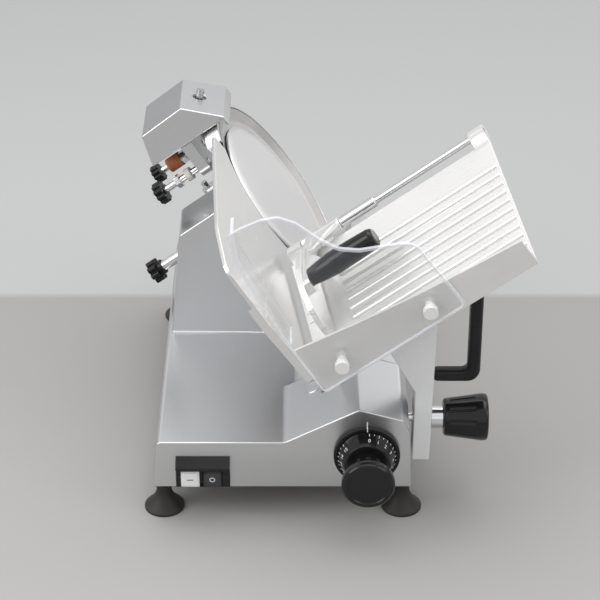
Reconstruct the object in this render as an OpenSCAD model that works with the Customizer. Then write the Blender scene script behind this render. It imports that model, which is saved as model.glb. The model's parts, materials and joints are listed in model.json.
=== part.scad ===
// Gravity-feed deli meat slicer with a tilted 250 mm blade.
// Machine frame: +Z up, +Y away from the operator, +X towards the product side.
// The blade frame sits at the blade's centre: x rearward, y up the blade, z (called a) out to the product.

/* [Base] */
// Width of the base casting at its foot
base_w = 305; // [300:1:310]
// Depth of the base casting from the operator's end to the back
base_depth = 480; // [476:1:490]
// Clear height under the base
foot_h = 42; // [40:1:44]
// Wall thickness of the castings
wall = 4; // [3:0.5:5]
// Height of the flat platform that slices fall on
platform_z = 106; // [104:1:108]
// Diameter of a rubber foot at the table
foot_d = 48; // [44:1:52]

/* [Blade] */
// Diameter of the blade
blade_d = 250; // [248:1:252]
// Lean of the blade from upright
blade_tilt = 36.4; // [36:0.1:37]
// Blade centre across the machine
blade_x = -7; // [-8:0.5:-6]
// Blade centre behind the front panel
blade_y = 357; // [355:1:359]
// Height of the blade centre
blade_z = 250.5; // [249:0.5:252]
// Diameter of the blade cover
cover_d = 200; // [190:1:204]

/* [Carriage] */
// Length of the product table along the feed
table_len = 288; // [280:1:292]
// Diameter of the round rod that the pusher slides on
pusher_rod_d = 8; // [7:0.5:9]
// Number of ribs on the product table
rib_count = 11; // [9:1:11]

/* [Controls] */
// Greatest slice thickness
slice_max = 15; // [10:1:15]
// Turn of the dial over the whole thickness range
dial_turn = 300; // [270:5:300]
// Diameter of the knob on the dial
dial_knob_d = 62; // [56:1:64]

/* [Hidden] */
$fn = 48;

// Shift from the machine frame to the part's own frame, whose origin is the middle of the box on the table
shift_x = -51.11;
shift_y = -211.85;

fit = 0.05;          // radial clearance of a shaft in its bore
gap = 0.3;           // clearance between faces that pass each other
base_end = base_depth - wall;
ridge_x = 89.5;      // crest of the ridge that covers the slide rods
ridge_z = 152;
slope_x = 2.5;       // where the slope up to the ridge starts
flank_y = 122;       // behind this the slope is lower than the raised front pad
flank_drop = 7;
foot_x = base_w / 2 - 10;
foot_front_y = 20;
foot_rear_y = base_depth - 20;

// Housing over the drive, in the blade frame
housing_front_y = 245;
housing_rear_y = 470;
housing_top = 69;
roof_y = 314;        // from here back the roof falls
roof_fall = 0.52;
housing_face = -22;
housing_left = -101.5;
housing_foot_w = -146;

// Blade stack along the blade axis
ring_r = blade_d / 2 + 1.5;
ring_wall = 4.5;
hub_r = 38;
hub_top = -12;
hub_h = 8;
shaft_r = 10;
shaft_end = -76;
bearing_r = 21;
bearing_h = 12;
boss_end = -62;
pulley_top = -63;
pulley_h = 11;
blade_pulley_r = 27;
motor_pulley_r = 12;
motor_drop = 84;     // from the blade axis down to the motor axis
motor_top = -84;
motor_h = 66;
motor_r = 40;
tie_r = 4;
tie_out_r = 7;

// Slide under the ridge
slide_x = 128;
slide_z = 102;
guide_z = 64;
slide_r = 8;
guide_r = 5;
lug_front_y = 18;
lug_rear_y = 432;
lug_h = 8;
block_y = 34;
block_len = 52;
carriage_travel = 270;
stud_y = block_y + block_len / 2;
stud_r = 8;
arm_x = base_w / 2 + 2.5;
arm_y = 40;
arm_len = 40;
handle_y = 52;
handle_t = 17;

// Dial and thickness gauge
dial_x = 99;
dial_z = 90;
cam_r = 38;
cam_y = 7;
cam_h = 7;
cam_min_r = 18;      // radius of the groove at slice thickness 0
follower_r = 3;
gauge_bar_w = -152;
gauge_bar_y = 89;
gauge_bar_r = 6;
lug_left = -13;      // lug under the plate that reaches the bar, through a slot in the slope
lug_low = -140;
plate_face = 2;
plate_t = 5;
plate_near_y = 5;
plate_far_y = 295;

// Product tray, in the blade frame
tray_left = 8;
tray_front_y = -10;
tray_floor_w = -86;
tray_rear_y = 180;
table_slope = atan(75 / 210);
table_t = 4;
rib_r = 5;
rib_pitch = 14.2;
rib_left = 69;
rod_y = 191;
rod_w = -10;
rod_left = 14;
rod_right = 292;
pusher_r = pusher_rod_d / 2;
guard_t = 4;
guard_y = -22;

// Sharpener, in the blade frame
hood_y = 330;
hood_len = 88;
post_x = 40;
post_a = -48;
post_r = 8;
post_foot = 38;
stop_reach = 36;
grind_x = 14;
grind_w = 106;
hone_x = -16;
hone_w = 93;
spindle_r = 4.5;

// Switch
button_w = 22;
button_z = 48;
on_x = -109;
off_x = -83;

// ---- helpers ----

function unit(v) = v / norm(v);

// Outline moved inwards by d, for points in anticlockwise order
function inset(pts, d) = [for (i = [0:len(pts) - 1])
    let (n = len(pts), u = unit(pts[i] - pts[(i + n - 1) % n]), v = unit(pts[(i + 1) % n] - pts[i]),
        p = [-u.y, u.x], q = [-v.y, v.x])
    pts[i] + (p + q) * d / (1 + p * q)];

// Outline whose corner i is rounded with radius r[i]
function rounded(pts, r, steps = 5) = [for (i = [0:len(pts) - 1])
    let (n = len(pts), b = pts[i],
        u = unit(pts[(i + n - 1) % n] - b), v = unit(pts[(i + 1) % n] - b),
        half = acos(u * v) / 2, c = b + unit(u + v) * r[i] / sin(half),
        p = b + u * r[i] / tan(half) - c, q = b + v * r[i] / tan(half) - c,
        a0 = atan2(p.y, p.x), turn = (atan2(q.y, q.x) - a0 + 540) % 360 - 180)
    each (r[i] == 0 ? [b]
        : [for (k = [0:steps]) let (t = a0 + turn * k / steps) c + r[i] * [cos(t), sin(t)]])];

function arc(r, from, to, steps = 24) = [for (k = [0:steps])
    let (t = from + (to - from) * k / steps) r * [cos(t), sin(t)]];

module part_frame() translate([shift_x, shift_y, 0]) children();

// Puts children in the blade frame, a outwards from the blade's edge plane
module on_blade(a = 0) translate([blade_x, blade_y, blade_z]) rotate([0, -blade_tilt, 0])
    rotate([90, 0, 90]) translate([0, 0, a]) children();

// Extrudes an outline given as (a, height up the blade) from y0 rearwards
module section(y0, depth) translate([blade_x, y0 + depth, blade_z]) rotate([0, -blade_tilt, 0])
    rotate([90, 0, 0]) linear_extrude(depth) children();

// Extrudes an outline given as (x, z) from y0 rearwards
module front(y0, depth) translate([0, y0 + depth, 0]) rotate([90, 0, 0]) linear_extrude(depth) children();

// Cylinders along the machine's Y and X
module rod_y(x, y, z, r, h) translate([x, y, z]) rotate([-90, 0, 0]) cylinder(r = r, h = h);
module rod_x(x, y, z, r, h) translate([x, y, z]) rotate([0, 90, 0]) cylinder(r = r, h = h);

// Cylinder along a in the blade frame
module rod_a(x, w, a, r, h) on_blade(a) translate([x, w]) cylinder(r = r, h = h);

// Round knob outline with lobes
module lobed(r, lobes, lobe_r) {
    circle(r = r - lobe_r);
    for (i = [0:lobes - 1]) rotate(i * 360 / lobes) translate([r - lobe_r, 0]) circle(r = lobe_r);
}

// ---- base and housing ----

base_outline = [[-base_w / 2, foot_h], [base_w / 2, foot_h], [base_w / 2 - 3.5, 120], [140.5, 137],
    [ridge_x, ridge_z], [slope_x, platform_z], [-base_w / 2 + 4.5, platform_z]];
rear_outline = [[-base_w / 2, foot_h], [base_w / 2, foot_h], [base_w / 2 - 3.5, 120], [140.5, 137],
    [ridge_x, ridge_z], [ridge_x - 7, ridge_z - 4 - flank_drop], [slope_x + flank_drop * 2, platform_z],
    [-base_w / 2 + 4.5, platform_z]];
base_round = [0, 0, 10, 6, 3, 14, 5];
rear_round = [0, 0, 10, 6, 3, 3, 14, 5];
housing_outline = [[-142.5, platform_z - 10], [62, platform_z - 10],
    on_edge(housing_face, housing_foot_w),
    on_edge(housing_face, housing_top), on_edge(housing_left, housing_top), [-142.5, platform_z]];
housing_round = [0, 0, 0, 8, 9, 0];

// Space under the housing's roof, which falls towards the back, at depth d below the roof
module under_roof(d) on_blade(-215) linear_extrude(240) polygon([[housing_front_y - blade_y - 5, -260],
    [housing_rear_y - blade_y + 5, -260],
    [housing_rear_y - blade_y + 5, housing_top - roof_fall * (housing_rear_y + 5 - roof_y) - d],
    [roof_y - blade_y - 40, housing_top + roof_fall * 40 - d],
    [housing_front_y - blade_y - 5, housing_top + roof_fall * 40 - d]]);

// Point (x, z) of the machine frame for a place (a, w) in the blade frame
function on_edge(a, w) = [blade_x + a * cos(blade_tilt) - w * sin(blade_tilt),
    blade_z + a * sin(blade_tilt) + w * cos(blade_tilt)];

// Open-bottomed hollow of an outline
module hollow(pts) {
    polygon(inset(pts, wall));
    translate([-base_w / 2 + wall, foot_h - 1]) square([base_w - 2 * wall, 8]);
}

module slide_lug(y) difference() {
    front(y, lug_h) polygon([[slide_x - 14, guide_z - 9], [slide_x + 14, guide_z - 9],
        [slide_x + 18.5, platform_z], [slide_x + 10, 137], [slide_x - 14, 141]]);
    rod_y(slide_x, y - 1, slide_z, slide_r + 0.02, lug_h + 2);
    rod_y(slide_x, y - 1, guide_z, guide_r + 0.02, lug_h + 2);
}

module base_casting() part_frame() color("silver") difference() {
    union() {
        difference() {
            union() {
                front(0, flank_y) polygon(rounded(base_outline, base_round));
                front(flank_y, base_depth - flank_y) polygon(rounded(rear_outline, rear_round));
                intersection() {
                    front(housing_front_y, housing_rear_y - housing_front_y)
                        polygon(rounded(housing_outline, housing_round));
                    under_roof(0);
                }
            }
            front(wall, flank_y - wall) hollow(base_outline);
            front(flank_y - wall, base_end - flank_y + wall) hollow(rear_outline);
            intersection() {
                front(housing_front_y + wall, housing_rear_y - housing_front_y - 2 * wall)
                    polygon(inset([[-142.5, platform_z - 20], [62, platform_z - 20],
                        on_edge(housing_face, housing_foot_w), on_edge(housing_face, housing_top),
                        on_edge(housing_left, housing_top), [-142.5, platform_z]], wall));
                under_roof(wall * 1.127);
            }
        }
        // bearing boss, pad of the sharpener's post, motor posts, gauge bar lugs, rod lugs, other bosses
        on_post(6) cylinder(r = 14, h = post_foot - 6);
        rod_a(0, 0, boss_end, bearing_r + 7, housing_face - boss_end - 1);
        for (x = [-46, 46], w = [-40, 40]) {
            rod_a(x, w - motor_drop, motor_top + 4, 6, housing_face - motor_top - 6);
            rod_a(x, w - motor_drop, motor_top, 2.95, 6);
        }
        intersection() {
            for (a = [-62, 8]) section(gauge_bar_y - 10, 20) translate([a, gauge_bar_w - 9]) square([8, 60]);
            front(30, 80) polygon(rounded(base_outline, base_round));
        }
        // round pad cast on the slope
        translate([37, gauge_bar_y, 122.5])
            rotate([0, -atan((ridge_z - platform_z) / (ridge_x - slope_x)), 0]) cylinder(r = 10, h = 3);
        for (y = [lug_front_y, lug_rear_y]) slide_lug(y);
        for (x = [-foot_x, foot_x], y = [foot_front_y, foot_rear_y])
            translate([x, y, foot_h]) cylinder(r = 9, h = 22);
        for (x = [-foot_x, foot_x], y = [150, 330]) translate([x, y, foot_h + 4]) cylinder(r = 6.5, h = 6);
    }
    // outside of the base trims the bosses
    for (s = [-1, 1]) translate([s * (base_w / 2 + 10), base_depth / 2, foot_h + 10])
        cube([20, base_depth + 2, 24], center = true);
    rod_a(0, 0, boss_end - 1, bearing_r + 0.02, housing_face - boss_end + 4);
    rod_a(0, 0, -175, tie_out_r + 1, 60);
    rod_a(gauge_bar_y - blade_y, gauge_bar_w, -63, gauge_bar_r + 0.02, 80);
    section(gauge_bar_y - 17, 34) translate([lug_left - slice_max - 1, lug_low - 6])
        square([slice_max + 16, 40]);
    for (x = [-foot_x, foot_x], y = [foot_front_y, foot_rear_y])
        translate([x, y, foot_h - 1]) cylinder(r = 3.05, h = 19);
    for (x = [-foot_x, foot_x], y = [150, 330]) translate([x, y, foot_h]) cylinder(r = 1.55, h = 9);
    // switch window, dial hole, stud slot, cord hole and cooling slots
    translate([on_x - button_w / 2 - 0.5, -1, button_z - 0.5])
        cube([off_x - on_x + button_w + 1, wall + 2, button_w + 1]);
    rod_y(dial_x, -1, dial_z, 6 + fit, wall + 2);
    translate([base_w / 2 - 12, stud_y - 11, slide_z - 11]) cube([20, carriage_travel + 22, 22]);
    rod_y(-100, base_depth - wall - 1, 70, 9.05, wall + 2);
    for (i = [0:5]) translate([-50 + i * 12, base_depth - wall - 1, 60]) cube([5, wall + 2, 30]);
}

module bottom_cover() part_frame() color("dimgray") difference() {
    translate([-base_w / 2 + wall + 0.5, wall + 0.5, foot_h + 2])
        cube([base_w - 2 * wall - 1, base_depth - 2 * wall - 1, 1.5]);
    for (x = [-foot_x, foot_x], y = [foot_front_y, foot_rear_y])
        translate([x, y, foot_h]) cylinder(r = 10, h = 6);
    for (x = [-foot_x, foot_x], y = [150, 330]) translate([x, y, foot_h]) cylinder(r = 1.7, h = 6);
    for (i = [0:7]) translate([-100 + i * 14, 200, foot_h]) cube([6, 60, 6]);
    translate([on_x - 17, 0, foot_h]) cube([off_x - on_x + 34, wall + 36, 6]);
}

module cover_screws() part_frame() color("gray")
    for (x = [-foot_x, foot_x], y = [150, 330]) translate([x, y, foot_h]) {
        cylinder(r = 1.5, h = 8);
        difference() {
            cylinder(r = 3.4, h = 1.95);
            translate([-4, -0.5, -1]) cube([8, 1, 1.8]);
        }
    }

// Flared rubber foot around a screw
module rubber_foot() rotate_extrude() polygon(concat([[3.05, 14], [8, 14], [8, 0], [foot_d / 2, 0],
    [foot_d / 2, 3]], [for (k = [0:8]) let (t = k / 8)
    [9 + (foot_d / 2 - 10) * pow(1 - t, 2), 4 + 24 * t]], [[9.5, foot_h], [3.05, foot_h]]));

module rubber_feet() part_frame() color("black")
    for (x = [-foot_x, foot_x], y = [foot_front_y, foot_rear_y]) translate([x, y, 0]) rubber_foot();

module foot_screws() part_frame() color("gray")
    for (x = [-foot_x, foot_x], y = [foot_front_y, foot_rear_y]) translate([x, y, 0]) {
        translate([0, 0, 9]) cylinder(r = 6, h = 5, $fn = 6);
        translate([0, 0, 14]) cylinder(r = 3, h = foot_h + 3);
    }

// ---- electrics and drive ----

module cord_inlet() part_frame() color("black") difference() {
    union() {
        rod_y(-100, base_depth, 70, 13, 4);
        rod_y(-100, base_end - 4, 70, 9, 8);
        rod_y(-100, base_depth + 4, 70, 8, 6);
    }
    rod_y(-100, base_end - 5, 70, 4, 20);
}

module control_box() part_frame() color("dimgray") {
    translate([-118, 60, foot_h + 4]) cube([60, 80, 32]);
    for (x = [-108, -88]) translate([x, 70, foot_h + 36]) cube([14, 20, 10]);
    rod_y(-118, 300, 72, 16, 60);
    rod_y(-118, 294, 72, 5, 6);
}

module motor_body() part_frame() color("slategray") difference() {
    union() {
        rod_a(0, -motor_drop, motor_top - motor_h, motor_r, motor_h);
        rod_a(0, -motor_drop, motor_top - 1, 14, 3);
        for (i = [0:11]) on_blade(motor_top - motor_h + 6) translate([0, -motor_drop]) rotate(i * 30)
            translate([motor_r - 1, -1.5]) cube([3, 3, motor_h - 12]);
    }
    rod_a(0, -motor_drop, motor_top - motor_h - 1, 6.05, motor_h + 5);
}

module motor_bracket() part_frame() color("gray") difference() {
    on_blade(motor_top) linear_extrude(4) difference() {
        translate([-52, -motor_drop - 46]) square([104, 92]);
        translate([0, -motor_drop]) circle(r = 14.3);
    }
    for (x = [-46, 46], w = [-40, 40]) rod_a(x, w - motor_drop, motor_top - 1, 3, 6);
}

module motor_shaft() part_frame() color("silver")
    rod_a(0, -motor_drop, motor_top - motor_h + 4, 6, motor_h + 20);

// Grooved pulley around a bore
module pulley(r, bore) rotate_extrude() polygon(concat([[bore, 0]], [[r, 0]],
    [for (i = [0:3]) each [[r, 1 + i * 2.4], [r - 1, 1.8 + i * 2.4], [r, 2.6 + i * 2.4]]],
    [[r, pulley_h], [bore, pulley_h]]));

module motor_pulley() part_frame() color("darkgray")
    on_blade(pulley_top - pulley_h) translate([0, -motor_drop]) pulley(motor_pulley_r, 6.02);

module blade_pulley() part_frame() color("darkgray")
    on_blade(pulley_top - pulley_h) pulley(blade_pulley_r, shaft_r + 0.02);

// Outline of an open belt round both pulleys at distance d outside them
function belt_outline(d) = let (r1 = blade_pulley_r + d, r2 = motor_pulley_r + d,
        lean = asin((r1 - r2) / motor_drop))
    concat(arc(r1, -lean, 180 + lean), [for (p = arc(r2, 180 + lean, 360 - lean)) p + [0, -motor_drop]]);

module drive_belt() part_frame() color("black") on_blade(pulley_top - pulley_h + 0.5)
    linear_extrude(pulley_h - 1) difference() {
        polygon(belt_outline(3.3));
        polygon(belt_outline(0.3));
    }

module blade_bearings() part_frame() color("silver")
    for (a = [boss_end + 2, housing_face - bearing_h - 2]) on_blade(a) rotate_extrude()
        polygon([[shaft_r + fit, 0], [14, 0], [14, 1.5], [17, 1.5], [17, 0], [bearing_r, 0],
            [bearing_r, bearing_h], [17, bearing_h], [17, bearing_h - 1.5], [14, bearing_h - 1.5],
            [14, bearing_h], [shaft_r + fit, bearing_h]]);

// ---- blade ----

module blade_hub() part_frame() color("gray") difference() {
    on_blade() rotate_extrude() polygon([[tie_r + 0.6, shaft_end], [shaft_r, shaft_end],
        [shaft_r, hub_top - hub_h], [hub_r, hub_top - hub_h], [hub_r, hub_top], [tie_r + 0.6, hub_top]]);
    for (i = [0:2]) on_blade(hub_top - 5) rotate(90 + i * 120) translate([26, 0]) cylinder(r = 2.55, h = 6);
}

module blade() part_frame() color("silver") difference() {
    on_blade() rotate_extrude($fn = 128) polygon([[11, hub_top], [106, hub_top], [blade_d / 2, -0.4],
        [blade_d / 2, 0], [108, hub_top + 3], [11, hub_top + 3]]);
    for (i = [0:2]) on_blade(hub_top - 1) rotate(90 + i * 120) translate([26, 0]) cylinder(r = 2.6, h = 6);
}

module blade_screws() part_frame() color("gray") for (i = [0:2]) on_blade(hub_top - 4.5) rotate(90 + i * 120)
    translate([26, 0]) cylinder(r = 2.5, h = 7.3);

module blade_cover() part_frame() color("silver") on_blade() rotate_extrude($fn = 128) polygon([[0, -5],
    [0, -3.5], [90, -3.5], [cover_d / 2 - 1.5, -4.5], [cover_d / 2, -6], [cover_d / 2, -7.6],
    [20, -7.6], [20, -8.2], [8, -8.2], [8, -10.6], [tie_r + 0.05, -10.6], [tie_r + 0.05, -5]]);

// Sector of the ring that leaves the cutting edge open
module ring_sector() difference() {
    circle(r = 200);
    polygon(concat([[0, 0]], arc(240, 113, 229, 8)));
}

module ring_guard() part_frame() color("silver") {
    on_blade(-20) linear_extrude(20.5) intersection() {
        difference() {
            circle(r = ring_r + ring_wall, $fn = 128);
            circle(r = ring_r, $fn = 128);
        }
        ring_sector();
    }
    on_blade(-20) linear_extrude(3) intersection() {
        difference() {
            circle(r = ring_r + 0.5, $fn = 128);
            circle(r = 80, $fn = 128);
        }
        ring_sector();
    }
    for (t = [-120, -60, -25]) on_blade(housing_face) rotate(t) translate([88, 0]) cylinder(r = 6, h = 3);
}

module slice_deflector() part_frame() color("silver") {
    on_blade(-16) linear_extrude(1.5) intersection() {
        difference() {
            circle(r = 119, $fn = 128);
            circle(r = 78, $fn = 128);
        }
        polygon(concat([[0, 0]], arc(240, 118, 222, 8)));
    }
    for (t = [150, 190]) on_blade(housing_face) rotate(t) translate([84, 0]) cylinder(r = 4, h = 7);
}

module tie_rod() part_frame() color("silver") on_blade() {
    translate([0, 0, -78]) cylinder(r = tie_r, h = 72);
    translate([0, 0, -190]) cylinder(r = tie_out_r, h = 112);
}

module cover_knob() part_frame() color("black") on_blade(-206) difference() {
    union() {
        linear_extrude(12) lobed(16, 8, 4);
        translate([0, 0, 12]) cylinder(r = 10, h = 6);
    }
    translate([0, 0, 8]) cylinder(r = tie_out_r + 0.02, h = 12);
    translate([0, 0, -1]) cylinder(r = 6, h = 3);
}

// ---- switch ----

module switch_housing() part_frame() color("black") difference() {
    translate([on_x - 17, 0, 0]) rotate([90, 0, 90]) linear_extrude(off_x - on_x + 38)
        polygon([[0, foot_h + 3], [-6.5, foot_h + 5], [-7, foot_h + 6], [-7, button_z + button_w],
            [-13, button_z + button_w + 4], [-13, button_z + button_w + 8], [0, 87]]);
    for (x = [on_x, off_x]) translate([x - button_w / 2 - gap, -20, button_z - gap])
        cube([button_w + 2 * gap, 30, button_w + 2 * gap]);
}

module switch_contacts() part_frame() color("dimgray") difference() {
    translate([on_x - 15, wall, button_z - 0.6]) cube([off_x - on_x + 30, 34, button_w + 1.2]);
    for (x = [on_x, off_x]) translate([x - button_w / 2 - gap, wall - 1, button_z - gap])
        cube([button_w + 2 * gap, 15, button_w + 2 * gap]);
}

module push_button(x) translate([x, 0, button_z + button_w / 2]) rotate([90, 0, 0]) {
    translate([-button_w / 2, -button_w / 2, -6]) cube([button_w, button_w, 14.5]);
    translate([0, 0, 8.5]) linear_extrude(1) square(button_w - 3, center = true);
}

module on_button() part_frame() color("white") push_button(on_x);

module off_button() part_frame() color("dimgray") push_button(off_x);

// Coil spring drawn as separate turns, from y0 rearwards
module turns(r, wire_r, pitch, count) for (i = [0:count - 1]) translate([0, 0, wire_r + i * pitch])
    rotate_extrude($fn = 24) translate([r, 0]) circle(r = wire_r, $fn = 16);

module button_springs() part_frame() color("gray") for (x = [on_x, off_x])
    translate([x, 6, button_z + button_w / 2]) rotate([-90, 0, 0]) turns(6, 0.7, 2.2, 5);

// ---- dial and thickness gauge ----

module dial_ring() part_frame() color("black") difference() {
    rod_y(dial_x, -6, dial_z, 39, 6);
    rod_y(dial_x, -7, dial_z, 6 + gap, 8);
    rod_y(dial_x, -7, dial_z, 35, 4);
}

module dial_skirt() part_frame() color("black") difference() {
    translate([dial_x, -3 - gap, dial_z]) rotate([90, 0, 0]) rotate_extrude($fn = 96) polygon([[0, 0],
        [34.5, 0], [34.5, 4], [27, 20], [24, 21], [0, 21]]);
    rod_y(dial_x, -26, dial_z, 6.02, 30);
}

module dial_knob() part_frame() color("black") difference() {
    translate([dial_x, -3 - gap - 21, dial_z]) rotate([90, 0, 0]) rotate_extrude($fn = 96)
        polygon([[0, 0], [19, 0], [20.5, 8], [24, 18], [dial_knob_d / 2 - 2.5, 28], [dial_knob_d / 2, 32],
            [dial_knob_d / 2, 39], [dial_knob_d / 2 - 2.5, 42], [dial_knob_d / 2 - 6, 42],
            [dial_knob_d / 2 - 7, 40.5], [0, 40.5]]);
    rod_y(dial_x, -50, dial_z, 6.02, 30);
    for (i = [0:11]) translate([dial_x, -3 - gap - 21, dial_z]) rotate([90, 0, 0]) rotate(i * 30)
        translate([dial_knob_d / 2 - 3, 0, 2]) rotate([0, -12, 0]) cylinder(r = 3, h = 22);
}

// Radius of the cam groove after the dial has turned by t
function groove_r(t) = cam_min_r + slice_max * t / dial_turn;

// Spiral groove: the middle line, widened by half on each side
function groove_side(half) = [for (k = [-3:63]) let (t = dial_turn * k / 60,
    at = 180 + blade_tilt - t) (groove_r(t) + half) * [cos(at), sin(at)]];

module dial_cam() part_frame() color("gray") {
    rod_y(dial_x, -44, dial_z, 6, 44 + cam_y);
    rod_y(dial_x, cam_y + cam_h, dial_z, 6, 6);
    difference() {
        rod_y(dial_x, cam_y, dial_z, cam_r, cam_h);
        translate([dial_x, 0, dial_z]) front(cam_y + 2, cam_h)
            polygon(concat(groove_side(follower_r + gap), [for (k = [66:-1:0])
                groove_side(-follower_r - gap)[k]]));
    }
}

// Lower end of the plate's outline meets the blade's circle; the near edge curves gently
plate_round_r = ring_r + 0.5;
plate_low = tray_floor_w - 5;
plate_outline = concat(
    rounded([[plate_near_y - blade_y, plate_low], [plate_near_y - blade_y + 2, 10],
        [plate_near_y - blade_y + 18, 95], [plate_near_y - blade_y + 86, 116],
        [plate_far_y - blade_y, 134], [plate_far_y - blade_y, sqrt(pow(plate_round_r, 2)
        - pow(plate_far_y - blade_y, 2))]], [10, 60, 22, 120, 3, 0], 8),
    arc(plate_round_r, 180 - acos((blade_y - plate_far_y) / plate_round_r) + 2,
        180 + asin(-plate_low / plate_round_r), 28));

module gauge_plate() part_frame() color("silver") union() {
    on_blade(plate_face - plate_t) linear_extrude(plate_t) polygon(plate_outline);
    // stiff rolled rim along the near edge
    on_blade(plate_face - 11) linear_extrude(7) intersection() {
        polygon(plate_outline);
        translate([plate_near_y - blade_y - 1, plate_low]) square([9, 180]);
    }
    // lug that carries the slide bar
    section(gauge_bar_y - 16, 32) polygon([[plate_face - plate_t + 0.5, plate_low + 18],
        [lug_left, plate_low + 7], [lug_left, lug_low], [plate_face - plate_t, lug_low],
        [plate_face - plate_t, plate_low], [plate_face - plate_t + 0.5, plate_low + 1]]);
}

module gauge_bar() part_frame() color("silver")
    rod_a(gauge_bar_y - blade_y, gauge_bar_w, -62, gauge_bar_r, 78);

module gauge_slide() part_frame() color("gray") difference() {
    union() {
        section(gauge_bar_y - 16, 32) translate([lug_left - 8, lug_low - 24]) square([24, 24]);
        section(18, gauge_bar_y - 16 - 17) translate([lug_left - 8, lug_low - 24]) square([12, 12]);
        section(18, 8) polygon([[lug_left - 8, lug_low - 12], [lug_left - 8, lug_low - 24],
            [follower_a - 6, dial_w - 6], [follower_a + 6, dial_w - 6], [follower_a + 6, dial_w + 6],
            [lug_left + 4, lug_low - 24], [lug_left + 4, lug_low - 12]]);
        on_follower() cylinder(r = follower_r, h = 9);
    }
    rod_a(gauge_bar_y - blade_y, gauge_bar_w, -60, gauge_bar_r + fit, 80);
}

// Dial centre and cam follower in the blade frame
dial_w = (dial_z - blade_z) * cos(blade_tilt) - (dial_x - blade_x) * sin(blade_tilt);
dial_a = (dial_z - blade_z) * sin(blade_tilt) + (dial_x - blade_x) * cos(blade_tilt);
follower_a = dial_a - cam_min_r;

module on_follower() let (p = on_edge(follower_a, dial_w)) translate([p.x, cam_y + 2 + gap, p.y])
    rotate([-90, 0, 0]) children();

// ---- carriage ----

module slide_rod() part_frame() color("silver")
    rod_y(slide_x, lug_front_y, slide_z, slide_r, lug_rear_y - lug_front_y + lug_h);

module guide_rod() part_frame() color("silver")
    rod_y(slide_x, lug_front_y, guide_z, guide_r, lug_rear_y - lug_front_y + lug_h);

module slide_block() part_frame() color("gray") difference() {
    union() {
        translate([slide_x - 13, block_y, slide_z - 14]) cube([28, block_len, 28]);
        translate([slide_x - 10, block_y + 8, guide_z - 8]) cube([20, block_len - 16, 33]);
    }
    rod_y(slide_x, block_y - 1, slide_z, slide_r + fit, block_len + 2);
    translate([slide_x - guide_r - gap, block_y, guide_z - 10])
        cube([2 * (guide_r + gap), block_len, 10 + guide_r + gap]);
    rod_x(slide_x + 10.5, stud_y, slide_z, 5.02, 10);
}

// Height up the blade of the table's underside at depth y
function under_w(y) = tray_floor_w - table_t / cos(table_slope) + (y - tray_front_y) * tan(table_slope);

// Point (x, z) at machine x on the line w of the blade frame
function on_line(x, w) = on_edge((x - blade_x + w * sin(blade_tilt)) / cos(blade_tilt), w);

module carriage_arm() part_frame() color("gainsboro") difference() {
    front(arm_y, arm_len) polygon([[arm_x, 53], [arm_x + 20.5, 53], [arm_x + 24, 235],
        on_line(arm_x + 24, under_w(arm_y)), on_line(103.5, under_w(arm_y)), [130.5, 195.5],
        [arm_x + 1, 150]]);
    rod_x(arm_x - 1, stud_y, slide_z, stud_r + fit, 40);
    tray_screw_places() cylinder(r = 2.55, h = 24, center = true);
}

// Screws that hold the table on the arm, along the blade's height
module tray_screw_places() for (y = [arm_y + 10, arm_y + 30], a = [110, 160])
    on_blade(a) translate([y - blade_y, under_w(arm_y)]) rotate([-90, 0, 0]) children();

// Wedge under the sloped table with a face square to the blade, from depth y to y + len
module under_pad(y, len, a0, a1) on_blade(a0) linear_extrude(a1 - a0) polygon([
    [y - blade_y, under_w(y)], [y + len - blade_y, under_w(y)],
    [y + len - blade_y, under_w(y + len) + 1], [y - blade_y, under_w(y) + 1]]);

// Profile of the sloped table seen along the feed, x rearward and y up the blade
module table_profile() translate([tray_front_y - blade_y, tray_floor_w]) rotate(table_slope)
    translate([0, -table_t]) square([(tray_rear_y - tray_front_y) / cos(table_slope), table_t]);

module rib_profile() translate([tray_front_y - blade_y, tray_floor_w]) rotate(table_slope)
    intersection() {
        for (i = [0:rib_count - 1]) translate([18 + i * rib_pitch, -2]) circle(r = rib_r);
        translate([0, -1]) square([(tray_rear_y - tray_front_y) / cos(table_slope), 12]);
    }

// Half-round left ends of the ribs
module rib_ends() on_blade(rib_left) translate([tray_front_y - blade_y, tray_floor_w])
    rotate(table_slope) intersection() {
        for (i = [0:rib_count - 1]) translate([18 + i * rib_pitch, -2, 0]) sphere(r = rib_r);
        translate([0, -1, -rib_r - 1]) cube([(tray_rear_y - tray_front_y) / cos(table_slope), 12, rib_r + 2]);
    }

tray_wall_outline = concat([[tray_left, tray_floor_w - 3], [tray_left + table_len, tray_floor_w - 3],
    [tray_left + table_len, -54]], [for (k = [1:8]) let (t = k / 8)
    [tray_left + table_len * (1 - t), -54 + 33 * t - 4 * sin(180 * t)]]);

module product_tray() part_frame() color("whitesmoke") union() {
    on_blade(tray_left) linear_extrude(table_len) table_profile();
    on_blade(rib_left) linear_extrude(table_len + tray_left - rib_left - 3) rib_profile();
    rib_ends();
    difference() {
        section(tray_front_y, 4) polygon(tray_wall_outline);
        guard_screw_places(tray_front_y - 1, 6) circle(r = 3.02);
    }
    // rear tab and inner lug that hold the pusher rod
    on_blade(tray_left + table_len - 20) linear_extrude(20) rod_holder();
    on_blade(rod_left - 2) linear_extrude(20) rod_holder();
    difference() {
        union() {
            under_pad(arm_y, arm_len, 84.5, 177.5);
            under_pad(handle_y, handle_t, 218, 250);
        }
        tray_screw_places() cylinder(r = 2.55, h = 5, center = true);
    }
}

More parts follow.
